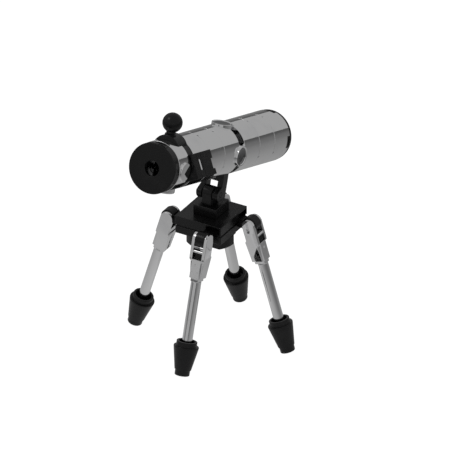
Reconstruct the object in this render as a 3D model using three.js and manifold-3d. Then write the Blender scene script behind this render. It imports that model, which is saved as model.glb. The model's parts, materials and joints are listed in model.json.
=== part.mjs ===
// A press-fit miniature spectroscope on a folding four-legged stand, about 90 mm tall.
// A chrome tube of stacked round bricks tilts on a forked bracket above a swivel head.
// Everything is in millimetres, +Z up, with +Y along the tube towards its lower, far end.
import * as THREE from "three";
import { mergeVertices } from "three/addons/utils/BufferGeometryUtils.js";
import Module from "manifold-3d";

const wasm = await Module();
wasm.setup();

// ---- Driving dimensions ----
const pitch = 8; // spacing of the building grid
const plate = pitch * 0.4; // height of one thin plate
const brick = 3 * plate; // height of one brick
const gap = 0.3; // clearance between neighbouring pieces
const rodRadius = 1.6; // the round bars and the knob's neck
const boreRadius = 2.4; // the sight hole along the whole tube
const tubeRadius = pitch;

const standShift = 0.25; // base centre from the middle of the object's footprint, along Y
const baseTop = 44.8;
const hingeOut = 12; // leg hinge from the base's centre
const hingeAlong = 4; // leg hinge from the middle of its side
const hingeHeight = 41.8;
const legSplay = THREE.MathUtils.degToRad(17.2);

const pivotAhead = -0.6; // tilt pivot from the base's centre, along Y
const pivotHeight = 51.7;
const tubeTilt = THREE.MathUtils.degToRad(18.2);
const axisAbovePivot = 13.4;
const pivotFromEyeEnd = 41.5; // measured along the tube

const turnSides = 32; // facets round the tube
const rodSides = 16; // facets round small round pieces

// ---- Materials ----
function finish(color, roughness, metalness) {
  return new THREE.MeshStandardMaterial({ color, roughness, metalness });
}
const chrome = () => finish(0xd4d6d8, 0.05, 1);
const black = () => finish(0x1b1b1c, 0.35, 0);
const steel = () => finish(0xb8babd, 0.25, 1);

// ---- Solids ----
function solidOf(geometry) {
  const bare = geometry.index ? geometry.toNonIndexed() : geometry.clone();
  bare.deleteAttribute("normal");
  bare.deleteAttribute("uv");
  const merged = mergeVertices(bare, 1e-4);
  return new wasm.Manifold(
    new wasm.Mesh({
      numProp: 3,
      vertProperties: merged.attributes.position.array,
      triVerts: new Uint32Array(merged.index.array),
    }),
  );
}

function geometryOf(solid) {
  const { vertProperties, triVerts } = solid.getMesh();
  const geometry = new THREE.BufferGeometry();
  geometry.setAttribute("position", new THREE.BufferAttribute(vertProperties, 3));
  geometry.setIndex(new THREE.BufferAttribute(triVerts, 1));
  geometry.computeVertexNormals();
  return geometry;
}

function joined(...solids) {
  return solids.reduce((whole, next) => whole.add(next));
}

function cut(solid, ...tools) {
  return tools.reduce((left, tool) => left.subtract(tool), solid);
}

// A box between two corners.
function box([x0, y0, z0], [x1, y1, z1]) {
  const geometry = new THREE.BoxGeometry(x1 - x0, y1 - y0, z1 - z0);
  geometry.translate((x0 + x1) / 2, (y0 + y1) / 2, (z0 + z1) / 2);
  return solidOf(geometry);
}

// A round rod from one point to another.
function rod(radius, from, to, sides = rodSides) {
  const start = new THREE.Vector3(...from);
  const along = new THREE.Vector3(...to).sub(start);
  const geometry = new THREE.CylinderGeometry(radius, radius, along.length(), sides);
  geometry.translate(0, along.length() / 2, 0);
  const turn = new THREE.Quaternion();
  turn.setFromUnitVectors(new THREE.Vector3(0, 1, 0), along.clone().normalize());
  geometry.applyQuaternion(turn);
  geometry.translate(...from);
  return solidOf(geometry);
}

// A body of revolution about +Y, from a profile of [radius, distance along Y] that runs
// up the outside; a profile that leaves the axis alone is closed on itself.
function turned(profile, sides = turnSides) {
  const points = profile.map(([radius, along]) => new THREE.Vector2(radius, along));
  const closed = profile[0][0] > 0;
  if (closed) points.push(points[0].clone());
  return solidOf(new THREE.LatheGeometry(points, sides));
}

// A flat outline of [y, z] points given a thickness between two X positions.
function slab(outline, x0, x1) {
  const shape = new THREE.Shape(outline.map(([y, z]) => new THREE.Vector2(y, z)));
  const geometry = new THREE.ExtrudeGeometry(shape, { depth: x1 - x0, bevelEnabled: false });
  // outline x, y and depth become Y, Z and X
  geometry.applyMatrix4(new THREE.Matrix4().set(0, 0, 1, x0, 1, 0, 0, 0, 0, 1, 0, 0, 0, 0, 0, 1));
  return solidOf(geometry);
}

// Points on an arc of [y, z] about a centre, with both ends.
function arc([cy, cz], radius, fromDeg, toDeg, steps = 8) {
  return Array.from({ length: steps + 1 }, (_, i) => {
    const angle = THREE.MathUtils.degToRad(fromDeg + ((toDeg - fromDeg) * i) / steps);
    return [cy + radius * Math.cos(angle), cz + radius * Math.sin(angle)];
  });
}

// A solid turned about the tube's axis (Y) by an angle from straight up towards +X.
function aboutTube(solid, degrees) {
  return solid.rotate([0, degrees, 0]);
}

function add(parent, name, solid, material) {
  const mesh = new THREE.Mesh(geometryOf(solid), material);
  mesh.name = name;
  parent.add(mesh);
}

// ---- Scene graph ----
const spectroscope = new THREE.Group();
const stand = new THREE.Group();
stand.position.y = standShift;
spectroscope.add(stand);

const tiltGroup = new THREE.Group();
tiltGroup.position.set(0, pivotAhead, pivotHeight);
tiltGroup.rotation.x = -tubeTilt;
stand.add(tiltGroup);

// The tube's own frame: origin at the middle of the eye end's front face, +Y along the
// axis, +Z square to it and up.
const tube = new THREE.Group();
tube.position.set(0, -pivotFromEyeEnd, axisAbovePivot);
tiltGroup.add(tube);

// ---- Tube stations, measured along the axis from the eye end ----
const ringStart = plate;
const collarStart = ringStart + 2 * plate;
const nearStart = collarStart + plate;
const midStart = nearStart + 3 * brick;
const farStart = midStart + plate;
const tubeEnd = farStart + 3 * brick;

// ---- Eye disc: a flat disc with a sight hole and four notches behind its front rim ----
const discBevel = 0.35;
const notchFrom = 0.8;
const notchHalf = 3.15;
const notchFloor = tubeRadius - 0.9;
const quarterTurns = [0, 90, 180, 270];

function eyeDisc() {
  const back = ringStart - gap;
  const disc = turned([
    [boreRadius, 0],
    [tubeRadius - discBevel, 0],
    [tubeRadius, discBevel],
    [tubeRadius, back],
    [boreRadius, back],
  ]);
  const notch = box([-notchHalf, notchFrom, notchFloor], [notchHalf, plate, tubeRadius + 1]);
  return cut(disc, ...quarterTurns.map((turn) => aboutTube(notch, turn)));
}
add(tube, "eye_disc", eyeDisc(), black());

// ---- Ring behind the disc, with a cross-shaped socket and a flat boss on each side ----
const socketDepth = 1.6;
const socketArm = 0.9;
const sideBossRadius = 2.9;
const sideBossTop = tubeRadius + 0.45;
const sideBossAt = ringStart + plate;
const lowerCapAt = 10.7;
const lowerCapRadius = 3.2;
const lowerCapTop = tubeRadius + 0.8;
const seatRadius = tubeRadius + gap;

function nearRing() {
  const back = collarStart - gap;
  const boss = rod(sideBossRadius, [0, sideBossAt, 5], [0, sideBossAt, sideBossTop]);
  const ring = joined(
    turned([
      [0, ringStart],
      [tubeRadius, ringStart],
      [tubeRadius, back],
      [0, back],
    ]),
    aboutTube(boss, 90),
    aboutTube(boss, 270),
  );
  const arm = box([-socketArm, 0, -boreRadius], [socketArm, brick, boreRadius]);
  const bore = rod(boreRadius, [0, ringStart + socketDepth, 0], [0, brick + 1, 0]);
  return cut(ring, arm, aboutTube(arm, 90), bore);
}
add(tube, "near_ring", nearRing(), chrome());

// ---- Lower cap: a round button under the collar, seated on the tube's curve ----
function lowerCap() {
  const button = rod(lowerCapRadius, [0, lowerCapAt, 6], [0, lowerCapAt, lowerCapTop], 20);
  const curve = rod(seatRadius, [0, ringStart, 0], [0, nearStart + brick, 0], turnSides);
  return aboutTube(button, 180).subtract(curve);
}
add(tube, "lower_cap", lowerCap(), chrome());

// ---- Collar plate: carries the knob on a round lug and the slit housing on an arm ----
const lugRadius = 4.6;
const lugRise = 4.9; // lug centre above the tube's axis
const armTurn = 61.6; // the slit housing's flat face looks this way, from up towards +X
const armFace = 8.9; // flat face from the tube's axis
const armLow = 6.9; // the housing reaches this far down beside its own centre line
const armHigh = 0.8; // and this far up
const lugFront = 7; // the lug reaches forward over the ring

function slitHousing(from, to) {
  const body = aboutTube(box([-armHigh, from, 0], [armLow, to, armFace]), armTurn);
  return body.subtract(rod(seatRadius, [0, from - 1, 0], [0, to + 1, 0], turnSides));
}

function collarPlate() {
  const back = nearStart - gap;
  const disc = rod(tubeRadius - 0.2, [0, collarStart, 0], [0, back, 0], turnSides);
  const lug = rod(lugRadius, [0, lugFront, lugRise], [0, back, lugRise], turnSides);
  const armBody = aboutTube(
    box([-armHigh, collarStart + 0.6, 2], [armLow, back, armFace]),
    armTurn,
  );
  const overRing = rod(seatRadius, [0, lugFront - 1, 0], [0, collarStart, 0], turnSides);
  const bore = rod(boreRadius, [0, 0, 0], [0, nearStart, 0]);
  return joined(cut(lug, overRing), disc, armBody).subtract(bore);
}
add(tube, "collar_plate", collarPlate(), black());

// ---- Ball knob on the collar's lug ----
const ballRadius = 3.1;
const ballRise = 13.2; // ball centre above the tube's axis
const neckRadius = 1.45;
const knobAt = collarStart - 0.7;

function ballKnob() {
  const foot = lugRise + lugRadius + 0.15;
  const sphere = new THREE.SphereGeometry(ballRadius, 20, 10);
  sphere.translate(0, knobAt, ballRise);
  return joined(rod(neckRadius, [0, knobAt, foot], [0, knobAt, ballRise]), solidOf(sphere));
}
add(tube, "ball_knob", ballKnob(), black());

// ---- Slit jaw and slit frame: the two halves of the entrance slit's housing ----
const jawEnd = 15.4;
const frameEnd = 21.9;
const slotFrom = 13.4;
const slotTo = 14.6;
const slotLow = 4.6;
const slotHigh = 1.2;
const tabRun = 1.15;
const tabHigh = 1.9;
const tabLow = 5.1;

function slitJaw() {
  const slot = aboutTube(box([slotHigh, slotFrom, 0], [slotLow, slotTo, armFace + 1]), armTurn);
  return slitHousing(nearStart, jawEnd - gap).subtract(slot);
}

function slitFrame() {
  const recess = aboutTube(
    box([tabHigh, frameEnd - tabRun, 0], [tabLow, frameEnd + 1, armFace + 1]),
    armTurn,
  );
  return slitHousing(jawEnd, frameEnd).subtract(recess);
}
add(tube, "slit_jaw", slitJaw(), black());
add(tube, "slit_frame", slitFrame(), black());

// ---- Tube bricks: each has a spigot at its far end and a socket at its near end ----
const spigotRadius = 4.9;
const spigotRise = 1.6;
const portAt = 41.9; // centre of the round side ports along the tube
const portRadius = 3.2;
const portTop = tubeRadius + 0.6;
const portSeat = 6.2;
const dishRadius = 6;
const dishDeep = 0.8;
const portTurns = { top: 0, right: 90, left: 270 };
const capLugHalf = 1.85;
const capLugRun = 1.5;
const capLugFloor = 6.9;

function tubeBrick(start, spigot) {
  const back = start + brick - gap;
  const lip = spigotRadius + gap;
  const profile = [
    [boreRadius, start + spigotRise + gap],
    [lip, start + spigotRise + gap],
    [lip, start],
    [tubeRadius, start],
    [tubeRadius, back],
  ];
  if (spigot) {
    profile.push([spigotRadius, back], [spigotRadius, back + spigotRise]);
    profile.push([boreRadius, back + spigotRise]);
  } else {
    profile.push([boreRadius, back]);
  }
  return turned(profile);
}

function portScoops() {
  const scoop = rod(portRadius + gap, [0, portAt, portSeat - gap], [0, portAt, pitch * 2]);
  return Object.values(portTurns).map((turn) => aboutTube(scoop, turn));
}

for (let row = 0; row < 6; row++) {
  const near = row < 3;
  const start = near ? nearStart + row * brick : farStart + (row - 3) * brick;
  let body = tubeBrick(start, row < 5);
  if (row === 2 || row === 3) body = cut(body, ...portScoops());
  if (row === 5) {
    const pocket = box(
      [-capLugHalf - gap, tubeEnd - capLugRun - 2 * gap, capLugFloor - gap],
      [capLugHalf + gap, tubeEnd, tubeRadius + 1],
    );
    body = cut(body, ...quarterTurns.map((turn) => aboutTube(pocket, turn)));
  }
  add(tube, `tube_brick_${row + 1}`, body, chrome());
}

// ---- Side ports: round plugs with a dished end ----
function portCap() {
  const dish = new THREE.SphereGeometry(dishRadius, 24, 16);
  dish.translate(0, portAt, portTop + dishRadius - dishDeep);
  return rod(portRadius, [0, portAt, portSeat], [0, portAt, portTop], 24).subtract(solidOf(dish));
}
for (const [side, turn] of Object.entries(portTurns)) {
  add(tube, `port_cap_${side}`, aboutTube(portCap(), turn), chrome());
}

// ---- Mid plate: a narrow waist plate whose foot becomes the two ears of the tilt hinge ----
const waistRadius = 5.9;
const earInner = 1.9;
const earOuter = 3.7;
const earRadius = 2.3;
const knuckleRadius = 2.2;
const pinRadius = 0.8;

// The ear of the tilt hinge, its outline, as [along the tube, height] from the pivot.
function earOutline() {
  const stemNear = midStart - pivotFromEyeEnd;
  const stemFar = farStart - gap - pivotFromEyeEnd;
  return [
    ...arc([0, 0], earRadius, 170, 285),
    [stemFar, -1.6],
    [stemFar, axisAbovePivot - tubeRadius],
    [stemNear, axisAbovePivot - tubeRadius],
    [stemNear, earRadius],
  ];
}

function midPlate() {
  const back = farStart - gap;
  const waist = turned([
    [boreRadius, midStart + spigotRise + gap],
    [spigotRadius + gap, midStart + spigotRise + gap],
    [spigotRadius + gap, midStart],
    [waistRadius, midStart],
    [waistRadius, back],
    [spigotRadius, back],
    [spigotRadius, back + spigotRise],
    [boreRadius, back + spigotRise],
  ]);
  const underside = -tubeRadius - 1; // where the neck divides into the ears
  const neck = box([-earOuter, midStart, underside], [earOuter, back, -spigotRadius - gap - 0.2]);
  const ears = [-1, 1].map((side) => {
    const inner = side < 0 ? -earOuter : earInner;
    const plank = slab(earOutline(), inner, inner + earOuter - earInner);
    return plank.translate([0, pivotFromEyeEnd, -axisAbovePivot]);
  });
  const pinHole = rod(
    pinRadius + gap,
    [-earOuter - 1, pivotFromEyeEnd, -axisAbovePivot],
    [earOuter + 1, pivotFromEyeEnd, -axisAbovePivot],
  );
  return cut(joined(waist, neck, ...ears), pinHole);
}
add(tube, "mid_plate", midPlate(), black());

// ---- End cap: a thin band with four lugs that key into the last brick ----
const capThick = 1.3;

function endCap() {
  const rim = tubeRadius - 0.1;
  const band = turned([
    [boreRadius, tubeEnd],
    [rim, tubeEnd],
    [rim, tubeEnd + capThick - 0.2],
    [rim - 0.2, tubeEnd + capThick],
    [boreRadius, tubeEnd + capThick],
  ]);
  const lug = box([-capLugHalf, tubeEnd - capLugRun, capLugFloor], [capLugHalf, tubeEnd + 0.5, 7.6]);
  return joined(band, ...quarterTurns.map((turn) => aboutTube(lug, turn)));
}
add(tube, "end_cap", endCap(), black());

// ---- Tilt pin, through both ears and the knuckle ----
const tiltPin = rod(pinRadius, [-earOuter, 0, 0], [earOuter, 0, 0]);
add(tiltGroup, "tilt_pin", tiltPin, black());

// ---- Swivel head: a square plate, a finger with a round knuckle, and its fittings ----
const headHalf = 4;
const headTop = baseTop + plate;
const fingerHalf = 1.6;
const headPostRadius = 2.4;
const head = new THREE.Group();
stand.add(head);

function swivelPlate() {
  const block = box([-headHalf, -headHalf, baseTop + gap], [headHalf, headHalf, headTop]);
  const post = rod(headPostRadius, [0, 0, baseTop - 2], [0, 0, baseTop + 1]);
  return joined(block, post);
}
add(head, "swivel_plate", swivelPlate(), black());

function knuckleFinger() {
  const front = pivotAhead - knuckleRadius;
  const back = pivotAhead + knuckleRadius;
  const outline = [
    [front, headTop + gap],
    [back, headTop + gap],
    ...arc([pivotAhead, pivotHeight], knuckleRadius, 0, 180, 12),
  ];
  const pinHole = rod(
    pinRadius + gap,
    [-pitch, pivotAhead, pivotHeight],
    [pitch, pivotAhead, pivotHeight],
  );
  return slab(outline, -fingerHalf, fingerHalf).subtract(pinHole);
}
add(head, "knuckle_finger", knuckleFinger(), black());

const screwOut = 2.6; // towards +X from the plate's middle
const screwBelow = 1.5; // under the plate's top
const screwShank = 0.55;
const screwHead = 0.95;

function lockScrew() {
  const at = (y) => [screwOut, y, headTop - screwBelow];
  const face = headHalf + gap;
  return joined(
    rod(screwShank, at(face), at(face + 0.6), 12),
    rod(screwHead, at(face + 0.5), at(face + 1.1), 16),
  );
}
add(head, "lock_screw", lockScrew(), steel());

// ---- Base: a top tile over a thicker plate, with a clearance notch over each hinge ----
const baseHalf = pitch;
const tileBottom = baseTop - plate;
const baseBottom = tileBottom - 2.7;
const grooveRise = 0.5;
const grooveInset = 0.3;
const sideNotch = { along: 5.2, half: 2.35, deep: 1.6, top: baseTop - 0.5, low: baseTop - 2.9 };

// A solid on the +X side, repeated on the four sides of the base.
function onFourSides(solid) {
  return quarterTurns.map((turn) => solid.rotate([0, 0, turn]));
}

function sideNotches() {
  const { along, half, deep, top, low } = sideNotch;
  return onFourSides(
    box([baseHalf - deep, along - half, low], [baseHalf + 1, along + half, top]),
  );
}

function baseTile() {
  const shelf = tileBottom + grooveRise;
  const inner = baseHalf - grooveInset;
  const body = joined(
    box([-baseHalf, -baseHalf, shelf], [baseHalf, baseHalf, baseTop]),
    box([-inner, -inner, tileBottom], [inner, inner, shelf + 0.1]),
  );
  const postHole = rod(headPostRadius + gap, [0, 0, baseTop - 2 - gap], [0, 0, baseTop + 1]);
  return cut(body, postHole, ...sideNotches());
}
add(stand, "base_tile", baseTile(), black());

const basePlate = box(
  [-baseHalf, -baseHalf, baseBottom],
  [baseHalf, baseHalf, tileBottom - gap],
);
add(stand, "base_plate", basePlate, black());

// ---- Under plate: a round plate below the base, relieved where each leg folds past ----
const underBottom = 35.4;
const reliefFrom = 5.2;
const reliefAlong = 6.3;

function underPlate() {
  const disc = rod(pitch, [0, 0, underBottom], [0, 0, baseBottom - gap], turnSides);
  const relief = box([reliefFrom, 0, underBottom - 1], [pitch + 1, reliefAlong, baseBottom]);
  return cut(disc, ...onFourSides(relief));
}
add(stand, "under_plate", underPlate(), black());

// ---- Four sides: a hinge lug and a leg each ----
const lugHalf = 1.5;
const barrelRadius = 2.5;

function hingeLug() {
  const neck = box(
    [baseHalf + gap, hingeAlong - lugHalf, hingeHeight - 1.7],
    [hingeOut, hingeAlong + lugHalf, hingeHeight + 1.2],
  );
  const barrel = rod(
    barrelRadius,
    [hingeOut, hingeAlong - lugHalf, hingeHeight],
    [hingeOut, hingeAlong + lugHalf, hingeHeight],
    24,
  );
  const pinHole = rod(
    pinRadius + gap,
    [hingeOut, hingeAlong - pitch, hingeHeight],
    [hingeOut, hingeAlong + pitch, hingeHeight],
    12,
  );
  return cut(joined(neck, barrel), pinHole);
}

const earThick = 0.8;
const earSkin = 0.3; // left outside the pin's blind hole
const forkHalf = lugHalf + gap + earThick;
const forkEarRadius = 2.1;
const forkLength = 13.2; // hinge to the fork's lower end
const shoulderTop = 5.4; // below the hinge
const earEnd = 6.4; // the ears run this far down, into the body
const forkEndHalf = 1.8;
const forkInner = -2.55;
const forkOuter = 2.1;
const flankOuter = 1.3;
const stepRise = 1;
const stepInset = 0.5;
const rungAt = [1.4, -4.2];
const rungRadius = 0.6;
const spigot = { radius: 0.9, top: 8.2 };
const slotHalf = 0.5;
const slotDeep = 0.7;
const barEnd = 38;

// Leg frame: origin at the hinge, -Z down the leg, +X away from the base.
function legFork() {
  const ear = (side) => {
    const y0 = side < 0 ? -forkHalf : forkHalf - earThick;
    const round = rod(forkEarRadius, [0, y0, 0], [0, y0 + earThick, 0], 20);
    const shank = box([-forkEarRadius, y0, -earEnd], [forkOuter, y0 + earThick, 0]);
    return joined(round, shank);
  };
  const bodyEnd = -forkLength + stepRise;
  const taper = [
    [-forkHalf, -shoulderTop],
    [-forkEndHalf, bodyEnd],
    [forkEndHalf, bodyEnd],
    [forkHalf, -shoulderTop],
  ];
  const flanks = slab(taper, forkInner, flankOuter);
  const spine = box([0, -forkEndHalf, bodyEnd], [forkOuter, forkEndHalf, -shoulderTop]);
  const foot = box(
    [forkInner + stepInset, -forkEndHalf + stepInset, -forkLength],
    [forkOuter - stepInset, forkEndHalf - stepInset, -shoulderTop],
  );
  const [rungOut, rungUp] = rungAt;
  const rung = rod(rungRadius, [rungOut, -forkHalf, rungUp], [rungOut, forkHalf, rungUp], 12);
  const barHole = rod(spigot.radius + gap, [0, 0, -forkLength - 1], [0, 0, -spigot.top + gap], 12);
  const holeReach = forkHalf - earSkin;
  const pinHole = rod(pinRadius + gap, [0, -holeReach, 0], [0, holeReach, 0], 12);
  const slot = box(
    [forkInner - 1, -slotHalf, -forkLength + stepRise + slotHalf],
    [forkInner + slotDeep, slotHalf, -shoulderTop - slotHalf],
  );
  return cut(joined(ear(-1), ear(1), flanks, spine, foot, rung), barHole, pinHole, slot);
}

function legBar() {
  const shoulder = -forkLength - gap;
  return joined(
    rod(rodRadius, [0, 0, -barEnd], [0, 0, shoulder]),
    rod(spigot.radius, [0, 0, shoulder - 1], [0, 0, -spigot.top], 12),
  );
}

const footTall = 10.8;
const footTipRadius = 2.35;
// The foot's inner edge touches the floor, so the leg's length follows from the hinge.
const legEnd = (hingeHeight - footTipRadius * Math.sin(legSplay)) / Math.cos(legSplay);

function footCone() {
  const top = -legEnd + footTall;
  const lip = 3.2;
  const wide = 3.95;
  const tip = footTipRadius;
  const cup = 2.5;
  const profile = [
    [0, -legEnd],
    [tip - 0.15, -legEnd],
    [tip, -legEnd + 0.2],
    [tip, -legEnd + 1.7],
    [tip + 0.25, -legEnd + 1.7],
    [wide, top - 1.8],
    [wide - 0.1, top - 1.5],
    [lip, top - 1.5],
    [lip, top],
    [cup, top],
    [cup, top - 2.6],
    [rodRadius + gap, top - 2.6],
    [rodRadius + gap, -barEnd - gap],
    [0, -barEnd - gap],
  ];
  return turned(profile, 24).rotate([90, 0, 0]);
}

quarterTurns.forEach((turn, index) => {
  const number = index + 1;
  const side = new THREE.Group();
  side.rotation.z = THREE.MathUtils.degToRad(turn);
  stand.add(side);
  add(side, `hinge_lug_${number}`, hingeLug(), black());

  const leg = new THREE.Group();
  leg.position.set(hingeOut, hingeAlong, hingeHeight);
  leg.rotation.y = -legSplay;
  side.add(leg);
  add(leg, `leg_fork_${number}`, legFork(), chrome());
  const pinReach = forkHalf - earSkin - gap;
  add(leg, `hinge_pin_${number}`, rod(pinRadius, [0, -pinReach, 0], [0, pinReach, 0], 12), steel());
  add(leg, `leg_bar_${number}`, legBar(), chrome());
  add(leg, `foot_cone_${number}`, footCone(), black());
});

export default spectroscope;
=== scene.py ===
import json
import math

import bmesh
import bpy
from mathutils import Matrix, Vector


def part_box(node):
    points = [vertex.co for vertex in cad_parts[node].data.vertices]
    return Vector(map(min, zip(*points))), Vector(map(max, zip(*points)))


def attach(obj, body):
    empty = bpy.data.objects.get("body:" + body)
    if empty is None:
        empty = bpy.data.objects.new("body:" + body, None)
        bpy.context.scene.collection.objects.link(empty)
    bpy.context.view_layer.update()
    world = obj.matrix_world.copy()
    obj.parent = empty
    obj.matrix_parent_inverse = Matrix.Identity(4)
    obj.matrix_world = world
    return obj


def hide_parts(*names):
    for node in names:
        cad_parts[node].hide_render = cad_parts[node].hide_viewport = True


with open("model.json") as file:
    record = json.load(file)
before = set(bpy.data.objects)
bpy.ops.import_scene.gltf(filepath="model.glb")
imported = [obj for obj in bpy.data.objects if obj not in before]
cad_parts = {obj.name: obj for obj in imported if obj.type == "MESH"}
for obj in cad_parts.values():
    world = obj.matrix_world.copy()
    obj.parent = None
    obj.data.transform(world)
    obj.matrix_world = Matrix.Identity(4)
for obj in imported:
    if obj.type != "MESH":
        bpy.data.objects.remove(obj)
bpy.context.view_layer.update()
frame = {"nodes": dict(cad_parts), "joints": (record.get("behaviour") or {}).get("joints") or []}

print("frame loaded:", len(frame["nodes"]), "nodes")

mm = 0.001
quarters = (0, 90, 180, 270)
seam = 0.05  # hairline between pressed-together pieces
clear = 1.0  # how far a cutting solid reaches past the face it opens
joints = {j["name"]: j for j in frame["joints"]}


# ---------- camera ----------
cameraValues = {"azimuth": 30, "elevation": 30, "distance": 5.0, "viewWidth": 0.1376,
                "aimRight": 4.07, "aimUp": 34.46, "clip": (0.1, 60)}

baseLow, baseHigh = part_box("base_plate")
baseCentre = Vector(((baseLow.x + baseHigh.x) / 2, (baseLow.y + baseHigh.y) / 2, 0))


def placeCamera(values):
    az = math.radians(values["azimuth"])
    el = math.radians(values["elevation"])
    back = Vector((math.sin(az) * math.cos(el), -math.cos(az) * math.cos(el), math.sin(el)))
    right = Vector((math.cos(az), math.sin(az), 0))
    up = back.cross(right)
    aim = baseCentre + right * values["aimRight"] * mm + up * values["aimUp"] * mm
    data = bpy.data.cameras.new("longLens")
    data.lens = data.sensor_width * values["distance"] / values["viewWidth"]
    data.clip_start, data.clip_end = values["clip"]
    camera = bpy.data.objects.new("longLens", data)
    camera.location = aim + back * values["distance"]
    camera.rotation_euler = (-back).to_track_quat("-Z", "Y").to_euler()
    bpy.context.scene.collection.objects.link(camera)
    bpy.context.scene.camera = camera


placeCamera(cameraValues)
print("camera placed")


# ---------- shared effects ----------
effectValues = {"grainDetail": 2, "hazeDetail": 4, "hazeFull": 0.72, "scratchDetail": 1,
                "scratchTurns": (0.5, 1.9, 2.8), "scratchTwist": (1, 0.7, 1.3),
                "scratchStretch": (1, 0.08, 1)}


def setValues(node, values):
    for socket, value in values.items():
        node.inputs[socket].default_value = value


def makeNode(nodes, kind, operation=None, values=None):
    node = nodes.new(f"ShaderNode{kind}")
    if operation:
        node.operation = operation
    setValues(node, values or {})
    return node


def newGroup(name, ins, outs):
    group = bpy.data.node_groups.new(name, "ShaderNodeTree")
    for label, value in ins.items():
        item = group.interface.new_socket(label, in_out="INPUT", socket_type="NodeSocketFloat")
        item.default_value = value
    for label in outs:
        group.interface.new_socket(label, in_out="OUTPUT", socket_type="NodeSocketFloat")
    return group, group.nodes.new("NodeGroupInput"), group.nodes.new("NodeGroupOutput")


# a noise whose feature size comes from a socket in millimetres
def sizedNoise(group, vector, size, detail):
    rate = makeNode(group.nodes, "Math", "DIVIDE", {0: 1 / mm})
    noise = makeNode(group.nodes, "TexNoise", values={"Detail": detail})
    group.links.new(size, rate.inputs[1])
    group.links.new(vector, noise.inputs["Vector"])
    group.links.new(rate.outputs[0], noise.inputs["Scale"])
    return noise.outputs["Fac"]


# fine moulded grain and a slow haze, both from the piece's own coordinates
def buildMouldedSkin(v):
    sizes = {"Grain Size": 0.3, "Haze Size": 6, "Haze Edge": 0.5}
    group, start, end = newGroup("mouldedSkin", sizes, ("Height", "Haze"))
    links = group.links
    coord = makeNode(group.nodes, "TexCoord").outputs["Object"]
    grain = sizedNoise(group, coord, start.outputs["Grain Size"], v["grainDetail"])
    links.new(grain, end.inputs["Height"])
    haze = sizedNoise(group, coord, start.outputs["Haze Size"], v["hazeDetail"])
    spread = makeNode(group.nodes, "MapRange", values={"From Max": v["hazeFull"]})
    spread.interpolation_type = "SMOOTHSTEP"
    links.new(haze, spread.inputs["Value"])
    links.new(start.outputs["Haze Edge"], spread.inputs["From Min"])
    links.new(spread.outputs["Result"], end.inputs["Haze"])
    return group


# sparse hair-fine scratches: the thin middle band of a stretched, turned noise, in several directions
def buildHairScratches(v):
    group, start, end = newGroup("hairScratches", {"Spacing": 2.5, "Width": 0.012}, ("Scratch",))
    nodes, links = group.nodes, group.links
    coord = makeNode(nodes, "TexCoord").outputs["Object"]
    total = None
    for turn in v["scratchTurns"]:
        twist = [turn * share for share in v["scratchTwist"]]
        lay = makeNode(nodes, "Mapping", values={"Rotation": twist, "Scale": v["scratchStretch"]})
        links.new(coord, lay.inputs["Vector"])
        noise = sizedNoise(group, lay.outputs["Vector"], start.outputs["Spacing"], v["scratchDetail"])
        band = makeNode(nodes, "Math", "COMPARE", {1: 0.5})
        links.new(noise, band.inputs[0])
        links.new(start.outputs["Width"], band.inputs[2])
        if total is None:
            total = band
            continue
        both = makeNode(nodes, "Math", "MAXIMUM")
        links.new(total.outputs[0], both.inputs[0])
        links.new(band.outputs[0], both.inputs[1])
        total = both
    links.new(total.outputs[0], end.inputs["Scratch"])
    return group


mouldedSkin = buildMouldedSkin(effectValues)
hairScratches = buildHairScratches(effectValues)


# a finish is a base and a hazed colour, a roughness that the haze and scratches lift, and a fine grain
def makeFinish(name, v):
    material = bpy.data.materials.new(name)
    material.use_nodes = True
    nodes, links = material.node_tree.nodes, material.node_tree.links
    shader = nodes["Principled BSDF"]
    setValues(shader, {"Metallic": v["metallic"], "IOR": v["ior"], "Specular IOR Level": v["shine"]})
    skin = makeNode(nodes, "Group")
    skin.node_tree = mouldedSkin
    setValues(skin, {"Grain Size": v["grain"], "Haze Size": v["haze"]})
    scratch = makeNode(nodes, "Group")
    scratch.node_tree = hairScratches
    setValues(scratch, {"Spacing": v["scratchSpacing"], "Width": v["scratchWidth"]})
    tint = makeNode(nodes, "Mix")
    tint.data_type = "RGBA"
    setValues(tint, {"A": (*v["colour"], 1), "B": (*v["hazed"], 1)})
    low, high, scratched = v["roughness"]
    rough = makeNode(nodes, "MapRange", values={"To Min": low, "To Max": high})
    lift = makeNode(nodes, "Math", "MULTIPLY_ADD", {1: scratched})
    bump = makeNode(nodes, "Bump", values={"Strength": v["bump"], "Distance": v["depth"] * mm})
    links.new(skin.outputs["Haze"], tint.inputs["Factor"])
    links.new(tint.outputs["Result"], shader.inputs["Base Color"])
    links.new(skin.outputs["Haze"], rough.inputs["Value"])
    links.new(scratch.outputs["Scratch"], lift.inputs[0])
    links.new(rough.outputs["Result"], lift.inputs[2])
    links.new(lift.outputs[0], shader.inputs["Roughness"])
    links.new(skin.outputs["Height"], bump.inputs["Height"])
    links.new(bump.outputs["Normal"], shader.inputs["Normal"])
    return material


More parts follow.
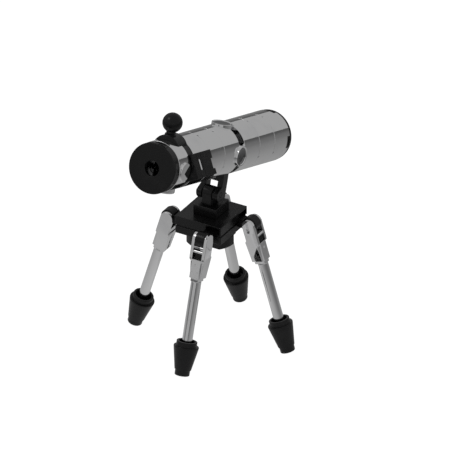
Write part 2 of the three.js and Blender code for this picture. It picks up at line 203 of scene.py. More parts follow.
# sizes and spacings in millimetres; roughness is clean, hazed, and what a scratch adds
finishes = {
    "chrome": makeFinish("brightChrome", {
        "metallic": 1.0, "colour": (0.93, 0.93, 0.935), "hazed": (0.88, 0.88, 0.89),
        "roughness": (0.03, 0.07, 0.05), "grain": 2.2, "haze": 7, "scratchSpacing": 3,
        "scratchWidth": 0.006, "bump": 0.25, "depth": 0.006, "ior": 1.5, "shine": 0.5}),
    "black": makeFinish("blackPlastic", {
        "metallic": 0.0, "colour": (0.0035, 0.0035, 0.0037), "hazed": (0.006, 0.006, 0.0063),
        "roughness": (0.24, 0.34, 0.12), "grain": 0.25, "haze": 5, "scratchSpacing": 2.2,
        "scratchWidth": 0.008, "bump": 0.3, "depth": 0.012, "ior": 1.46, "shine": 0.4}),
    # painted shade: a darker chrome for the disc in each port cap's dish
    "paintedShade": makeFinish("paintedShadeChrome", {
        "metallic": 1.0, "colour": (0.24, 0.24, 0.245), "hazed": (0.2, 0.2, 0.205),
        "roughness": (0.03, 0.08, 0.05), "grain": 2.2, "haze": 5, "scratchSpacing": 2,
        "scratchWidth": 0.006, "bump": 0.25, "depth": 0.006, "ior": 1.5, "shine": 0.5}),
    "pins": makeFinish("turnedSteel", {
        "metallic": 1.0, "colour": (0.6, 0.6, 0.61), "hazed": (0.5, 0.5, 0.51),
        "roughness": (0.22, 0.34, 0.1), "grain": 0.15, "haze": 2, "scratchSpacing": 1.2,
        "scratchWidth": 0.02, "bump": 0.3, "depth": 0.004, "ior": 1.5, "shine": 0.5}),
}
print("finishes made")


# ---------- mesh making, in millimetres ----------
meshValues = {"cornerSteps": 3, "cornerShare": 0.45, "onAxis": 1e-6, "softAngle": 35, "softSegments": 3,
              "sharpAngle": 38, "weld": 0.0005, "tubeSides": 128}
tubeSides = meshValues["tubeSides"]


# each corner of a profile becomes a small curve, never longer than a share of its shorter side
def rounded(profile, radius):
    if radius == 0:
        return list(profile)
    share, steps = meshValues["cornerShare"], meshValues["cornerSteps"]
    out = []
    for i, corner in enumerate(profile):
        if abs(corner[0]) < meshValues["onAxis"]:
            out.append(tuple(corner))
            continue
        here = Vector(corner)
        before = Vector(profile[i - 1]) - here
        after = Vector(profile[(i + 1) % len(profile)]) - here
        reach = min(radius, before.length * share, after.length * share)
        a = here + before.normalized() * reach
        b = here + after.normalized() * reach
        for step in range(steps + 1):
            t = step / steps
            p = a * (1 - t) ** 2 + here * 2 * t * (1 - t) + b * t * t
            out.append((p.x, p.y))
    return out


# a body of revolution from (radius, along) points; closed on itself if it stays off the axis
def lathe(profile, sides=96, axis="Y"):
    bm = bmesh.new()
    rings = []
    for radius, along in profile:
        if radius < meshValues["onAxis"]:
            rings.append([bm.verts.new((0, 0, along))])
            continue
        ring = []
        for i in range(sides):
            angle = 2 * math.pi * i / sides
            ring.append(bm.verts.new((radius * math.cos(angle), radius * math.sin(angle), along)))
        rings.append(ring)
    pairs = list(zip(rings, rings[1:]))
    if profile[0][0] > meshValues["onAxis"]:
        pairs.append((rings[-1], rings[0]))
    for one, two in pairs:
        for i in range(sides):
            j = (i + 1) % sides
            corners = [one[i % len(one)], one[j % len(one)], two[j % len(two)], two[i % len(two)]]
            unique = list(dict.fromkeys(corners))
            if len(unique) > 2:
                bm.faces.new(unique)
    bmesh.ops.recalc_face_normals(bm, faces=bm.faces)
    if axis == "Y":
        bm.transform(Matrix.Rotation(math.radians(-90), 4, "X"))
    return bm


# a ring or disc around Y
def hoop(inner, outer, y0, y1, soft, sides=tubeSides):
    return lathe(rounded([(inner, y0), (outer, y0), (outer, y1), (inner, y1)], soft), sides)


def rod(start, end, radius, soft=0.12, sides=64):
    start, end = Vector(start), Vector(end)
    length = (end - start).length
    bm = lathe(rounded([(0, 0), (radius, 0), (radius, length), (0, length)], soft), sides, "Z")
    turn = (end - start).to_track_quat("Z", "Y").to_matrix().to_4x4()
    bm.transform(Matrix.Translation(start) @ turn)
    return bm


def soften(bm, amount):
    limit = math.radians(meshValues["softAngle"])
    sharp = [e for e in bm.edges if len(e.link_faces) == 2 and e.calc_face_angle() > limit]
    bmesh.ops.bevel(bm, geom=sharp, offset=amount, segments=meshValues["softSegments"], profile=0.5,
                    affect="EDGES", clamp_overlap=True)


def block(low, high, soft=0.15):
    bm = bmesh.new()
    bmesh.ops.create_cube(bm, size=1)
    low, high = Vector(low), Vector(high)
    size = high - low
    bm.transform(Matrix.Translation((low + high) / 2) @ Matrix.Diagonal((*size, 1)))
    if soft:
        soften(bm, soft)
    return bm


# a flat outline of (y, z) points given a thickness between two x positions
def slab(outline, x0, x1, soft=0.15):
    bm = bmesh.new()
    face = bm.faces.new([bm.verts.new((x0, y, z)) for y, z in outline])
    made = bmesh.ops.extrude_face_region(bm, geom=[face])["geom"]
    bmesh.ops.translate(bm, verts=[v for v in made if isinstance(v, bmesh.types.BMVert)], vec=(x1 - x0, 0, 0))
    bmesh.ops.recalc_face_normals(bm, faces=bm.faces)
    if soft:
        soften(bm, soft)
    return bm


def arc(centre, radius, fromDeg, toDeg, steps=24):
    out = []
    for i in range(steps + 1):
        a = math.radians(fromDeg + (toDeg - fromDeg) * i / steps)
        out.append((centre[0] + radius * math.cos(a), centre[1] + radius * math.sin(a)))
    return out


def turned(bm, degrees, axis="Y"):
    bm.transform(Matrix.Rotation(math.radians(degrees), 4, axis))
    return bm


def movedAlong(bm, y):
    bm.transform(Matrix.Translation((0, y, 0)))
    return bm


def asObject(bm, name):
    mesh = bpy.data.meshes.new(name)
    bm.to_mesh(mesh)
    bm.free()
    obj = bpy.data.objects.new(name, mesh)
    bpy.context.scene.collection.objects.link(obj)
    return obj


# adds and cuts solids with exact booleans and hands back one clean mesh
def shaped(body, add=(), cut=()):
    core = asObject(body, "core")
    tools = []
    for how, solids in (("UNION", add), ("DIFFERENCE", cut)):
        for solid in solids:
            tool = asObject(solid, "tool")
            tools.append(tool)
            step = core.modifiers.new(how, "BOOLEAN")
            step.operation = how
            step.solver = "EXACT"
            step.object = tool
    bpy.context.view_layer.update()
    graph = bpy.context.evaluated_depsgraph_get()
    out = bmesh.new()
    out.from_mesh(core.evaluated_get(graph).to_mesh())
    bmesh.ops.remove_doubles(out, verts=out.verts, dist=meshValues["weld"])
    for obj in (core, *tools):
        bpy.data.objects.remove(obj)
    return out


# the darker chrome is painted shade for the dishes of the port caps
def finishPiece(name, bm, place, body, nodes, slot):
    bm.transform(place @ Matrix.Scale(mm, 4))
    obj = asObject(bm, name)
    obj.data.shade_smooth()
    obj.data.set_sharp_from_angle(angle=math.radians(meshValues["sharpAngle"]))
    evenly = obj.modifiers.new("evenNormals", "WEIGHTED_NORMAL")
    evenly.keep_sharp = True
    obj.data.materials.append(finishes[slot])
    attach(obj, body)
    if nodes:
        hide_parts(*nodes)


# ---------- the tube's own frame: origin on the eye face, Y along the axis, Z square to it ----------
tubeValues = {"pivotAlong": 41.5, "axisRise": 13.4, "radius": 8.0, "bore": 2.4, "brick": 9.6,
              "near": 12.8, "far": 44.8, "outside": 9}


def tubeFrame(v):
    first = sum(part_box("tube_brick_1"), Vector()) / 2
    fifth = sum(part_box("tube_brick_5"), Vector()) / 2
    along = (fifth - first).normalized()
    across = Vector((1, 0, 0))
    rise = across.cross(along)
    pivot = Vector(joints["tube_tilt"]["pos_m"])
    origin = pivot - along * v["pivotAlong"] * mm + rise * v["axisRise"] * mm
    out = Matrix((across, along, rise)).transposed().to_4x4()
    out.translation = origin
    return out


tubePlace = tubeFrame(tubeValues)
tubeRadius, bore, outside = tubeValues["radius"], tubeValues["bore"], tubeValues["outside"]


def onTube(name, bm, nodes, slot):
    finishPiece(name, bm, tubePlace, "tube", nodes, slot)


# a bore or curved seat around the tube's axis, to cut away
def axisHole(y0, y1, radius, sides=64):
    return rod((0, y0, 0), (0, y1, 0), radius, 0, sides)


# a round post standing out from the axis
def axisPost(at, low, high, radius, soft, sides=64):
    return rod((0, at, low), (0, at, high), radius, soft, sides)


# eye disc
discValues = {"thick": 3.2, "radius": 7.94, "round": 0.3, "notchHalf": 3.15, "notchFrom": 0.9,
              "notchFloor": 7.1, "notchSoft": 0.1}


def makeEyeDisc(v):
    disc = hoop(bore, v["radius"], 0, v["thick"] - seam, v["round"])
    low = (-v["notchHalf"], v["notchFrom"], v["notchFloor"])
    high = (v["notchHalf"], v["thick"] + clear, outside)
    notches = [turned(block(low, high, v["notchSoft"]), turn) for turn in quarters]
    onTube("eyeDisc", shaped(disc, cut=notches), ["eye_disc"], "black")


makeEyeDisc(discValues)

# ring behind the disc, with the cross socket seen through the eye hole
ringValues = {"start": 3.2, "end": 9.6, "round": 0.15, "bossAt": 6.4, "bossRadius": 2.9, "bossRoot": 5,
              "bossTop": 8.45, "bossSoft": 0.3, "arm": 0.9, "webThick": 1.6}


def makeNearRing(v):
    ring = hoop(0, tubeRadius, v["start"], v["end"] - seam, v["round"])
    boss = (v["bossAt"], v["bossRoot"], v["bossTop"], v["bossRadius"], v["bossSoft"])
    bosses = [turned(axisPost(*boss), turn) for turn in (90, 270)]
    low, high = (-v["arm"], v["start"] - clear, -bore), (v["arm"], v["end"] + clear, bore)
    arms = [turned(block(low, high, 0), turn) for turn in (0, 90)]
    hole = axisHole(v["start"] + v["webThick"], v["end"] + clear, bore)
    onTube("nearRing", shaped(ring, bosses, [*arms, hole]), ["near_ring"], "chrome")


makeNearRing(ringValues)

# round button under the collar
buttonValues = {"at": 10.7, "radius": 3.2, "root": 6, "top": 8.8, "seat": 8.04, "round": 0.35}


def makeLowerCap(v):
    button = axisPost(v["at"], v["root"], v["top"], v["radius"], v["round"])
    curve = axisHole(v["at"] - v["radius"] - clear, v["at"] + v["radius"] + clear, v["seat"], tubeSides)
    onTube("lowerCap", turned(shaped(button, cut=[curve]), 180), ["lower_cap"], "chrome")


makeLowerCap(buttonValues)

# collar with its round lug and the arm under the slit housing
collarValues = {"start": 9.6, "end": 12.8, "radius": 7.8, "round": 0.15, "lugRadius": 4.6, "lugRise": 4.9,
                "lugFront": 7.0, "lugSoft": 0.3, "seat": 8.04, "armInset": 0.6, "armRoot": 2}
housingValues = {"turn": 61.6, "face": 8.9, "low": 6.9, "high": -0.8}


def makeCollar(v, h):
    back = v["end"] - seam
    disc = rod((0, v["start"], 0), (0, back, 0), v["radius"], v["round"], tubeSides)
    lug = rod((0, v["lugFront"], v["lugRise"]), (0, back, v["lugRise"]), v["lugRadius"], v["lugSoft"], 96)
    lug = shaped(lug, cut=[axisHole(v["lugFront"] - clear, v["start"], v["seat"], tubeSides)])
    armLow = (h["high"], v["start"] + v["armInset"], v["armRoot"])
    arm = turned(block(armLow, (h["low"], back, h["face"]), v["round"]), h["turn"])
    hole = axisHole(v["lugFront"] - clear, v["end"] + clear, bore)
    onTube("collar", shaped(disc, [lug, arm], [hole]), ["collar_plate"], "black")


makeCollar(collarValues, housingValues)

# ball knob
knobValues = {"at": 8.9, "rise": 13.2, "radius": 3.1, "neck": 1.45, "flare": 0.35, "flareTop": 0.6,
              "neckExtra": 0.25, "neckStop": 0.15, "foot": 9.3, "steps": 40}


def makeKnob(v):
    neck, radius, rise, foot = v["neck"], v["radius"], v["rise"], v["foot"]
    join = math.degrees(math.asin((neck + v["neckExtra"]) / radius))
    flared = neck + v["flare"]
    profile = [(0, foot), (flared, foot), (flared, foot + v["flare"]), (neck, foot + v["flareTop"])]
    profile += [(neck, rise - radius * math.cos(math.radians(join)) - v["neckStop"])]
    for i in range(v["steps"] + 1):
        a = math.radians(join + (180 - join) * i / v["steps"])
        profile.append((radius * math.sin(a) if i < v["steps"] else 0, rise - radius * math.cos(a)))
    onTube("ballKnob", movedAlong(lathe(profile, 96, "Z"), v["at"]), ["ball_knob"], "black")


makeKnob(knobValues)

# slit housing: a jaw with the slot and a longer frame with a stepped end
slitValues = {"start": 12.8, "jawEnd": 15.4, "frameEnd": 21.9, "slot": (13.4, 14.6), "slotSpan": (1.2, 4.6),
              "tabSpan": (1.9, 5.1), "tabRun": 1.15, "seat": 8.04, "soft": 0.12,
              "tongueRoot": 8.1, "tongueDeep": 0.32, "tongueSoft": 0.08, "tongueLean": 14}


def makeSlitHousing(v, h):
    def part(y0, y1, tool):
        body = block((h["high"], y0, 0), (h["low"], y1, h["face"]), v["soft"])
        hollow = axisHole(y0 - clear, y1 + clear, v["seat"], tubeSides)
        return turned(shaped(body, cut=[hollow, tool]), h["turn"])

    (x0, x1), (y0, y1) = v["slotSpan"], v["slot"]
    top = h["face"] - v["tongueDeep"]
    slot = block((x0, y0, 0), (x1, y1, h["face"] + clear), 0)
    onTube("slitJaw", part(v["start"] + seam, v["jawEnd"] - seam, slot), ["slit_jaw"], "black")
    tongue = block((x0, y0, v["tongueRoot"]), (x1, y1, top), v["tongueSoft"])
    middle = Matrix.Translation(((x0 + x1) / 2, (y0 + y1) / 2, top))
    tongue.transform(middle @ Matrix.Rotation(math.radians(v["tongueLean"]), 4, "X") @ middle.inverted())
    onTube("slitTongue", turned(tongue, h["turn"]), [], "chrome")
    tabLow = (v["tabSpan"][0], v["frameEnd"] - v["tabRun"], 0)
    tab = block(tabLow, (v["tabSpan"][1], v["frameEnd"] + clear, h["face"] + clear), 0)
    onTube("slitFrame", part(v["jawEnd"] + seam, v["frameEnd"], tab), ["slit_frame"], "black")


makeSlitHousing(slitValues, housingValues)

# tube bricks, with a pinhole mark beside each quarter and scoops for the port caps
brickValues = {"round": 0.1, "sides": 160, "markIn": 0.3, "markTurn": 16, "markRadius": 0.34,
               "markDeep": 0.4, "portAt": 41.9, "portRadius": 3.24, "portFloor": 6.2,
               "portTurns": (0, 90, 270)}
capLug = {"half": 1.85, "run": 1.5, "floor": 6.9, "slack": 0.1}


def makeBricks(v):
    reach, half = capLug["run"] + capLug["slack"], capLug["half"] + seam
    for row in range(6):
        length = tubeValues["brick"]
        start = tubeValues["near"] + row * length if row < 3 else tubeValues["far"] + (row - 3) * length
        y0, y1 = start + seam / 2, start + length - seam
        markFloor, markAt = tubeRadius - v["markDeep"], y0 + v["markIn"]
        tools = []
        for turn in quarters:
            mark = axisPost(markAt, markFloor, outside, v["markRadius"], 0, 16)
            tools.append(turned(mark, turn + v["markTurn"]))
        if row in (2, 3):
            for turn in v["portTurns"]:
                port = axisPost(v["portAt"], v["portFloor"], outside, v["portRadius"], 0)
                tools.append(turned(port, turn))
        if row == 5:
            for turn in quarters:
                low = (-half, y1 - reach, capLug["floor"] - seam)
                tools.append(turned(block(low, (half, y1 + clear, outside), 0), turn))
        shell = hoop(bore, tubeRadius, y0, y1, v["round"], v["sides"])
        onTube(f"tubeBrick{row + 1}", shaped(shell, cut=tools), [f"tube_brick_{row + 1}"], "chrome")


makeBricks(brickValues)

# round caps on the side ports, each dished, with a darker chrome disc of painted shade lying in the dish
portValues = {"at": 41.9, "radius": 3.2, "seat": 6.25, "top": 8.6, "dish": 1.2, "rim": 0.2, "lip": 0.35,
              "slopeDown": 0.12, "slopeIn": 0.1,
              "shadeDiscUp": 0.04, "shadeDiscDeep": 0.3, "shadeDiscEdge": 0.1, "steps": 12, "sides": 72}


def makePortCaps(v):
    top, radius, steps = v["top"], v["radius"], v["steps"]
    edge = radius - v["rim"]
    reach = edge - v["lip"]

    def dish(r):
        return v["dish"] * (1 - (r / edge) ** 2)

    for side, turn in (("top", 0), ("right", 90), ("left", 270)):
        profile = [(0, v["seat"]), (radius, v["seat"]), (radius, top - v["slopeDown"])]
        profile += [(radius - v["slopeIn"], top), (edge, top)]
        for i in range(1, steps + 1):
            r = edge * (1 - i / steps)
            profile.append((r, top - dish(r)))
        cap = movedAlong(lathe(profile, v["sides"], "Z"), v["at"])
        onTube(f"portCap{side.title()}", turned(cap, turn), [f"port_cap_{side}"], "chrome")
        # painted shade: a darker chrome disc lying in the dish
        face = []
        for i in range(steps + 1):
            r = reach * i / steps
            face.append((r, top + v["shadeDiscUp"] - dish(r)))
        bowl = [(0, top - v["dish"] - v["shadeDiscDeep"]), (reach, face[-1][1] - v["shadeDiscEdge"]), *reversed(face)]
        lens = movedAlong(lathe(bowl, v["sides"], "Z"), v["at"])
        onTube(f"portPaintedShade{side.title()}", turned(lens, turn), [], "paintedShade")


makePortCaps(portValues)

# waist plate with the neck and the two ears of the tilt hinge
midValues = {"start": 41.6, "end": 44.8, "waist": 5.9, "earInner": 1.9, "earOuter": 3.7, "earRadius": 2.3,
             "earSoft": 0.15, "earSweep": (170, 285), "heel": -1.6, "root": 5.4, "neckLow": -9.5,
             "neckHigh": -5.4, "neckInset": 0.03, "neckSoft": 0.1, "pin": 0.8, "pinInset": 0.02,
             "pinSlack": 0.06, "pinSoft": 0.15}


def makeMidPlate(v):
    y0, y1, inset = v["start"] + seam, v["end"] - seam, v["neckInset"]
    pivotY, pivotZ = tubeValues["pivotAlong"], -tubeValues["axisRise"]
    inner, outer = v["earInner"], v["earOuter"]
    waist = hoop(bore, v["waist"], y0, y1, 0, 96)
    neckLow = (-outer + inset, y0 + inset, v["neckLow"])
    neck = block(neckLow, (outer - inset, y1 - inset, v["neckHigh"]), v["neckSoft"])
    outline = arc((0, 0), v["earRadius"], *v["earSweep"])
    outline += [(y1 - pivotY, v["heel"]), (y1 - pivotY, v["root"]), (y0 - pivotY, v["root"])]
    outline += [(y0 - pivotY, v["earRadius"])]
    outline = [(y + pivotY, z + pivotZ) for y, z in outline]
    ears = [slab(outline, *span, v["earSoft"]) for span in ((inner, outer), (-outer, -inner))]
    wide = outer + clear
    hole = rod((-wide, pivotY, pivotZ), (wide, pivotY, pivotZ), v["pin"] + v["pinSlack"], 0, 48)
    onTube("midPlate", shaped(waist, [neck, *ears], [hole]), ["mid_plate"], "black")
    ends = outer - v["pinInset"]
    pin = rod((-ends, pivotY, pivotZ), (ends, pivotY, pivotZ), v["pin"], v["pinSoft"], 48)
    onTube("tiltPin", pin, ["tilt_pin"], "black")


makeMidPlate(midValues)

# end cap with four keys in the last brick
endValues = {"start": 73.6, "thick": 1.3, "radius": 7.9, "round": 0.25, "keyTop": 7.6, "keyInto": 0.5}


def makeEndCap(v):
    start = v["start"]
    band = hoop(bore, v["radius"], start, start + v["thick"], v["round"])
    low = (-capLug["half"], start - capLug["run"], capLug["floor"])
    high = (capLug["half"], start + v["keyInto"], v["keyTop"])
    keys = [turned(block(low, high, 0), turn) for turn in quarters]
    onTube("endCap", shaped(band, keys), ["end_cap"], "black")


makeEndCap(endValues)
print("tube made")


# ---------- head and base, in the base's frame ----------
basePlace = Matrix.Translation(baseCentre)
pivotY = (joints["tube_tilt"]["pos_m"][1] - baseCentre.y) / mm
pivotZ = joints["tube_tilt"]["pos_m"][2] / mm
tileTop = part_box("base_tile")[1].z / mm

headValues = {"half": 4.0, "thick": 3.2, "lift": 0.06, "soft": 0.14, "post": 2.4, "postDeep": 2,
              "postInto": 1, "postSoft": 0.2, "fingerHalf": 1.6, "fingerLift": 0.03, "knuckle": 2.2,
              "pinHole": 0.86}
# each screw solid runs from near to far out of the plate's edge: near, far, radius, soft, sides
screwValues = {"out": 2.6, "below": 1.5, "shank": (0.02, 0.9, 0.55, 0.05, 32),
               "knob": (0.6, 1.38, 0.95, 0.15, 48)}


def makeHead(v, s):
    half, top = v["half"], tileTop + v["thick"]
    plate = block((-half, -half, tileTop + v["lift"]), (half, half, top), v["soft"])
    post = rod((0, 0, tileTop - v["postDeep"]), (0, 0, tileTop + v["postInto"]), v["post"], v["postSoft"])
    finishPiece("swivelPlate", shaped(plate, [post]), basePlace, "head", ["swivel_plate"], "black")
    foot = top + v["fingerLift"]
    outline = [(pivotY - v["knuckle"], foot), (pivotY + v["knuckle"], foot)]
    outline += arc((pivotY, pivotZ), v["knuckle"], 0, 180)
    finger = slab(outline, -v["fingerHalf"], v["fingerHalf"], v["soft"])
    wide = v["fingerHalf"] + clear
    hole = rod((-wide, pivotY, pivotZ), (wide, pivotY, pivotZ), v["pinHole"], 0, 48)
    finishPiece("knuckleFinger", shaped(finger, cut=[hole]), basePlace, "head", ["knuckle_finger"], "black")
    solids = []
    for near, far, radius, soft, sides in (s["shank"], s["knob"]):
        ends = [(s["out"], half + y, top - s["below"]) for y in (near, far)]
        solids.append(rod(*ends, radius, soft, sides))
    finishPiece("lockScrew", shaped(solids[0], solids[1:]), basePlace, "head", ["lock_screw"], "pins")


makeHead(headValues, screwValues)

baseValues = {"half": 8.0, "shelf": 42.1, "inset": 0.3, "lowerReach": 0.2, "tileBottom": 41.6,
              "tileSoft": 0.12,
              "plateBottom": 38.9, "plateGap": 0.22, "plateSoft": 0.14, "underBottom": 35.4, "underGap": 0.04,
              "underSoft": 0.3, "notchAlong": 5.2, "notchHalf": 2.35, "notchDeep": 1.6, "notchTop": 0.5,
              "notchLow": 2.9, "cutSoft": 0.1, "postHole": 2.5, "postDeep": 2.3,
              "reliefFrom": 5.2, "reliefAlong": 6.3}


def makeBase(v):
    half, inner = v["half"], v["half"] - v["inset"]
    tile = block((-half, -half, v["shelf"]), (half, half, tileTop), v["tileSoft"])
    lowerFrom, lowerTo = v["tileBottom"] - v["lowerReach"], v["shelf"] + v["inset"]
    lower = block((-inner, -inner, lowerFrom), (inner, inner, lowerTo), 0)
    notches, reliefs = [], []
    for turn in quarters:
        low = (half - v["notchDeep"], v["notchAlong"] - v["notchHalf"], tileTop - v["notchLow"])
        high = (half + clear, v["notchAlong"] + v["notchHalf"], tileTop - v["notchTop"])
        notches.append(turned(block(low, high, v["cutSoft"]), turn, "Z"))
        low = (v["reliefFrom"], 0, v["underBottom"] - clear)
        high = (half + clear, v["reliefAlong"], v["plateBottom"] + clear)
        reliefs.append(turned(block(low, high, v["cutSoft"]), turn, "Z"))
    hole = rod((0, 0, tileTop - v["postDeep"]), (0, 0, tileTop + clear), v["postHole"], 0)
    plateTop = v["tileBottom"] - v["plateGap"]
    plate = block((-half, -half, v["plateBottom"]), (half, half, plateTop), v["plateSoft"])
    underTop = v["plateBottom"] - v["underGap"]
    under = rod((0, 0, v["underBottom"]), (0, 0, underTop), half, v["underSoft"], 128)
    tile = shaped(tile, [lower], [*notches, hole])
    under = shaped(under, cut=reliefs)
    for name, bm, node in (("baseTile", tile, "base_tile"), ("basePlate", plate, "base_plate"),
                           ("underPlate", under, "under_plate")):
        finishPiece(name, bm, basePlace, "base", [node], "black")


makeBase(baseValues)
print("head and base made")


# ---------- four hinges and legs, each in its hinge's frame: X outwards, Z up ----------
hingeValues = {"half": 1.5, "barrel": 2.5, "barrelSoft": 0.16, "neckLow": -1.7, "neckHigh": 1.2,
               "neckFrom": -3.97, "soft": 0.14, "pin": 0.8, "pinHalf": 1.95, "pinSlack": 0.06, "pinSoft": 0.1}
forkValues = {"earInner": 1.62, "earOuter": 2.6, "earRadius": 2.1, "bodyTop": -5.4, "bodyEnd": -12.2,
              "end": -13.2, "endHalf": 1.8, "inner": -2.55, "outer": 2.1, "flank": 1.3, "soft": 0.14,
              "shoulders": (0.7, 0.1, 1.6, 0.9), "spineHalf": 1.62, "spineLift": 0.15, "spineGap": 0.1,
              "webTop": -3.5, "webFrom": -1.3, "pocketEnd": -6.1, "cutReach": 4, "step": 0.5,
              "rung": (1.4, -3.75, 0.5), "rungInset": 0.3, "markUp": -7.9, "markRadius": 0.45,
              "markDeep": 0.35, "slotHalf": 0.5, "slotDeep": 0.7, "slotEnds": 0.5, "slotSoft": 0.1}
pawlValues = {"low": (-1.27, -1.05, -6.05), "high": (1.5, 1.58, -4.35), "soft": 0.2}
barValues = {"splay": 17.2, "radius": 1.6, "end": -38.0, "gap": 0.03, "soft": 0.12}
footValues = {"tall": 10.8, "tip": 2.32, "wide": 3.93, "lip": 3.2, "cup": 2.5, "cupDeep": 2.6,
              "rimDrop": 1.5, "wideDrop": 1.8, "rimIn": 0.1, "toe": 1.7, "toeTaper": 0.02,
              "toeStep": 0.25, "toeSlope": 0.05,
              "barSlack": 0.05, "seatDeep": 0.6, "round": 0.14}


def legFrames(number, splay):
    joint = joints[f"leg_fold_{number}"]
    up = Vector((0, 0, 1))
    out = Vector(joint["axis"]).cross(-up).normalized()
    side = Matrix((out, up.cross(out), up)).transposed().to_4x4()
    side.translation = Vector(joint["pos_m"])
    return side, side @ Matrix.Rotation(-math.radians(splay), 4, "Y")


def makeHingeLug(v):
    half, through = v["half"], v["half"] + clear
    neck = block((v["neckFrom"], -half, v["neckLow"]), (0, half, v["neckHigh"]), v["soft"])
    barrel = rod((0, -half, 0), (0, half, 0), v["barrel"], v["barrelSoft"], 72)
    hole = rod((0, -through, 0), (0, through, 0), v["pin"] + v["pinSlack"], 0, 32)
    return shaped(barrel, [neck], [hole])


# two round ears run into one body that narrows downwards; a web closes the inner side between them
# and the outer side shows a pocket, a rung and a marked spine
def makeFork(v):
    reach, ear, inner, outer = v["earOuter"], v["earInner"], v["inner"], v["outer"]
    top, end, soft = v["bodyTop"], v["bodyEnd"], v["soft"]
    back, heel, waist, chin = v["shoulders"]
    outline = arc((0, 0), v["earRadius"], 0, 180, 40)
    outline += [(-v["earRadius"], top + back), (inner, top + heel), (inner, end), (v["flank"], end)]
    outline += [(v["flank"], top - waist), (v["earRadius"], top - chin)]
    fork = turned(slab(outline, -reach, reach, soft), -90, "Z")
    everything = fork.verts[:] + fork.edges[:] + fork.faces[:]
    bmesh.ops.bisect_plane(fork, geom=everything, plane_co=(0, 0, top), plane_no=(0, 0, 1))
    for vert in fork.verts:
        down = max(0, top - vert.co.z) / (top - end)
        vert.co.y *= 1 - down * (1 - v["endHalf"] / reach)
    endHalf, cut = v["endHalf"] - v["step"], v["cutReach"]
    foot = block((inner + v["step"], -endHalf, v["end"]), (outer - v["step"], endHalf, end + 1), soft)
    spineTop = v["pocketEnd"] - v["spineGap"]
    spine = block((0, -v["spineHalf"], end + v["spineLift"]), (outer, v["spineHalf"], spineTop), soft)
    between = block((-cut, -ear, v["webTop"]), (cut, ear, cut), 0)
    pocket = block((v["webFrom"], -ear, v["pocketEnd"]), (cut, ear, 0), 0)
    rungOut, rungUp, rungRadius = v["rung"]
    rungHalf = reach - v["rungInset"]
    rung = rod((rungOut, -rungHalf, rungUp), (rungOut, rungHalf, rungUp), rungRadius, 0, 32)
    markEnds = [(x, 0, v["markUp"]) for x in (outer - v["markDeep"], outer + clear)]
    mark = rod(*markEnds, v["markRadius"], 0, 32)
    slotLow = (inner - clear, -v["slotHalf"], end + v["slotEnds"])
    slot = block(slotLow, (inner + v["slotDeep"], v["slotHalf"], top - v["slotEnds"]), v["slotSoft"])
    hollow = shaped(fork, [foot], [between, pocket, slot])
    return shaped(hollow, [spine, rung], [mark])


def makeFoot(v, hinge):
    splay = math.radians(barValues["splay"])
    end = -(hinge - v["tip"] * math.sin(splay)) / math.cos(splay)
    top = end + v["tall"]
    floor, rim, wideAt = top - v["cupDeep"], top - v["rimDrop"], top - v["wideDrop"]
    bar, seat = barValues["radius"] + v["barSlack"], floor - v["seatDeep"]
    toe = end + v["toe"]
    outer = [(0, end), (v["tip"] - v["toeTaper"], end), (v["tip"], toe)]
    outer += [(v["tip"] + v["toeStep"], toe + v["toeSlope"])]
    outer += [(v["wide"], wideAt), (v["wide"] - v["rimIn"], rim)]
    inner = [(v["lip"], rim), (v["lip"], top), (v["cup"], top), (v["cup"], floor)]
    inner += [(bar, floor), (bar, seat), (0, seat)]
    return lathe(rounded(outer + inner, v["round"]), 96, "Z")


def makeLegs(hinge, fork, pawl, bar, foot):
    for number in (1, 2, 3, 4):
        side, leg = legFrames(number, bar["splay"])
        height = joints[f"leg_fold_{number}"]["pos_m"][2] / mm
        half = hinge["pinHalf"]
        pin = rod((0, -half, 0), (0, half, 0), hinge["pin"], hinge["pinSoft"], 32)
        rail = rod((0, 0, bar["end"]), (0, 0, fork["end"] - bar["gap"]), bar["radius"], bar["soft"], 72)
        catch = block(pawl["low"], pawl["high"], pawl["soft"])
        lug, tip = makeHingeLug(hinge), makeFoot(foot, height)
        finishPiece(f"hingeLug{number}", lug, side, "base", [f"hinge_lug_{number}"], "black")
        for name, bm, nodes, slot in (("legFork", makeFork(fork), [f"leg_fork_{number}"], "chrome"),
                                      ("hingePawl", catch, [], "black"),
                                      ("hingePin", pin, [f"hinge_pin_{number}"], "pins"),
                                      ("legBar", rail, [f"leg_bar_{number}"], "chrome"),
                                      ("footCone", tip, [f"foot_cone_{number}"], "black")):
            finishPiece(f"{name}{number}", bm, leg, f"leg_{number}", nodes, slot)


makeLegs(hingeValues, forkValues, pawlValues, barValues, footValues)
print("legs made")


# ---------- floor and studio light ----------
# painted reflection: mirror-like rays see the floor glow bright near the object, fall off to a dark surround
# and be brighter towards one side, and the chrome mirrors this;
# distances in metres, each with its level
floorValues = {"radius": 8.0, "white": 0.98, "bounce": 0.12, "bright": (-0.87, -0.5, 0), "sides": (0.8, 1.05),
               "mirrored": ((0.0, 0.44), (0.045, 0.38), (0.08, 0.33), (0.13, 0.27), (0.28, 0.19),
                            (0.8, 0.12), (1.6, 0.1))}
skyValues = {"mirrored": 0.36, "zenith": 0.85, "horizon": 0.35}


# mirror-like bounces see one shader, every other ray the plain one
def splitByRay(nodes, links, plain, mirrored, out):
    path = makeNode(nodes, "LightPath")
    choose = makeNode(nodes, "MixShader")
    links.new(path.outputs["Is Glossy Ray"], choose.inputs["Fac"])
    links.new(plain.outputs[0], choose.inputs[1])
    links.new(mirrored.outputs[0], choose.inputs[2])
    links.new(choose.outputs[0], out.inputs["Surface"])


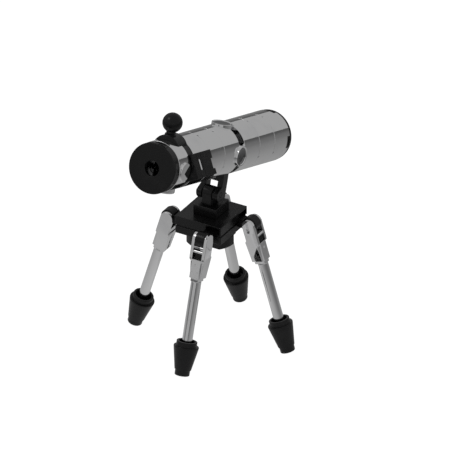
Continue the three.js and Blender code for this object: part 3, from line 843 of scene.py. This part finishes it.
def makeFloor(v):
    bm = bmesh.new()
    bmesh.ops.create_circle(bm, cap_ends=True, segments=128, radius=v["radius"])
    floor = asObject(bm, "studioFloor")
    material = bpy.data.materials.new("paleFloor")
    material.use_nodes = True
    nodes, links = material.node_tree.nodes, material.node_tree.links
    nodes.clear()
    matt = makeNode(nodes, "BsdfDiffuse", values={"Color": (v["bounce"],) * 3 + (1,)})
    glow = makeNode(nodes, "Emission", values={"Strength": v["white"]})
    plain = makeNode(nodes, "AddShader")
    coord = makeNode(nodes, "TexCoord")
    far = makeNode(nodes, "VectorMath", "LENGTH")
    span = v["mirrored"][-1][0]
    scale = makeNode(nodes, "Math", "DIVIDE", {1: span})
    ramp = makeNode(nodes, "ValToRGB")
    stops = ramp.color_ramp.elements
    while len(stops) < len(v["mirrored"]):
        stops.new(0.5)
    for stop, (distance, level) in zip(stops, v["mirrored"]):
        stop.position = distance / span
        stop.color = (level, level, level, 1)
    # painted reflection: this glow is darker with distance and brighter towards one side, and only
    # mirror-like rays see it
    seen = makeNode(nodes, "Emission")
    toward = makeNode(nodes, "VectorMath", "NORMALIZE")
    facing = makeNode(nodes, "VectorMath", "DOT_PRODUCT", {1: v["bright"]})
    low, high = v["sides"]
    side = makeNode(nodes, "MapRange", values={"From Min": -1, "To Min": low, "To Max": high})
    links.new(coord.outputs["Object"], toward.inputs[0])
    links.new(toward.outputs["Vector"], facing.inputs[0])
    links.new(facing.outputs["Value"], side.inputs["Value"])
    links.new(side.outputs["Result"], seen.inputs["Strength"])
    links.new(coord.outputs["Object"], far.inputs[0])
    links.new(far.outputs["Value"], scale.inputs[0])
    links.new(scale.outputs[0], ramp.inputs["Fac"])
    links.new(ramp.outputs["Color"], seen.inputs["Color"])
    links.new(matt.outputs[0], plain.inputs[0])
    links.new(glow.outputs[0], plain.inputs[1])
    splitByRay(nodes, links, plain, seen, makeNode(nodes, "OutputMaterial"))
    floor.data.materials.append(material)


def makeSky(v):
    world = bpy.data.worlds.new("softStudio")
    world.use_nodes = True
    bpy.context.scene.world = world
    nodes, links = world.node_tree.nodes, world.node_tree.links
    nodes.clear()
    coord = makeNode(nodes, "TexCoord")
    split = makeNode(nodes, "SeparateXYZ")
    height = makeNode(nodes, "MapRange", values={"To Min": v["horizon"], "To Max": v["zenith"]})
    soft = makeNode(nodes, "Background", values={"Color": (1, 1, 1, 1)})
    mirrored = makeNode(nodes, "Background", values={"Color": (v["mirrored"],) * 3 + (1,)})
    links.new(coord.outputs["Generated"], split.inputs[0])
    links.new(split.outputs["Z"], height.inputs["Value"])
    links.new(height.outputs["Result"], soft.inputs["Strength"])
    splitByRay(nodes, links, soft, mirrored, makeNode(nodes, "OutputWorld"))


lampValues = {"aim": (0, -20, 85), "toward": (-0.49, -0.34, 0.81), "distance": 0.9, "size": 0.3,
              "power": 0.6}


# a small soft lamp up on the left, for the glint on the knob
def makeLamp(v):
    aim = Vector(v["aim"]) * mm
    toward = Vector(v["toward"]).normalized()
    data = bpy.data.lights.new("smallSoftbox", "AREA")
    data.size = v["size"]
    data.energy = v["power"]
    lamp = bpy.data.objects.new("smallSoftbox", data)
    lamp.location = aim + toward * v["distance"]
    lamp.rotation_euler = (-toward).to_track_quat("-Z", "Y").to_euler()
    bpy.context.scene.collection.objects.link(lamp)


makeFloor(floorValues)
makeSky(skyValues)
makeLamp(lampValues)
bpy.context.scene.view_settings.view_transform = "Standard"
print("floor and light made")
